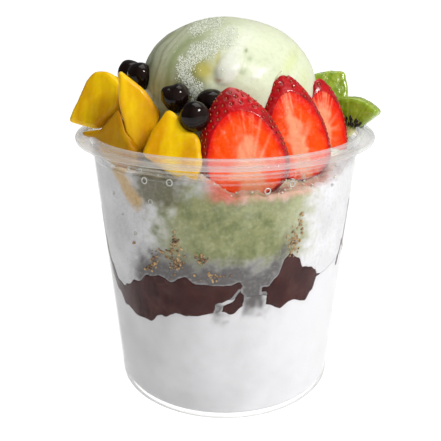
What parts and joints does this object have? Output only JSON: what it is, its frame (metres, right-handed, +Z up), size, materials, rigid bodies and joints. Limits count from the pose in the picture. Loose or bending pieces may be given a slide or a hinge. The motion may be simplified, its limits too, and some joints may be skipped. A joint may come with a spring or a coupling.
{
  "type": "shaved ice dessert",
  "caption": "Clear tapered cup layered with white shaved ice, red bean paste and green tea ice, heaped with a green ice cream scoop, cut fruit and tapioca pearls.",
  "frame": {"origin": "centre of the cup's foot, on the surface it stands on", "axes": "+Z up along the cup's axis; -Y towards the side where the strawberry half leans over the rim; +X to the right seen from there"},
  "size_m": [0.1215, 0.117, 0.1472],
  "materials": {
    "clear_plastic": "clear, glossy",
    "white_ice": "frosty, slightly wet",
    "bean_paste": "moist, uneven",
    "green_ice": "wet, icy",
    "ice_cream": "creamy, slightly melted",
    "mango_flesh": "smooth, moist",
    "tapioca": "wet, shiny",
    "strawberry_flesh": "moist",
    "kiwi_flesh": "moist"
  },
  "bodies": {
    "root": {"cup": "clear_plastic", "shaved_ice": "white_ice", "red_bean": "bean_paste", "green_tea_ice": "green_ice", "ice_cream_scoop": "ice_cream", "mango_1": "mango_flesh", "mango_2": "mango_flesh", "mango_3": "mango_flesh", "mango_4": "mango_flesh", "mango_5": "mango_flesh", "mango_6": "mango_flesh", "pearl_1": "tapioca", "pearl_2": "tapioca", "pearl_3": "tapioca", "pearl_4": "tapioca", "pearl_5": "tapioca", "pearl_6": "tapioca", "pearl_7": "tapioca", "pearl_8": "tapioca", "strawberry_1": "strawberry_flesh", "strawberry_2": "strawberry_flesh", "strawberry_3": "strawberry_flesh", "strawberry_4": "strawberry_flesh", "kiwi_1": "kiwi_flesh", "kiwi_2": "kiwi_flesh", "kiwi_3": "kiwi_flesh"}
  },
  "joints": []
}
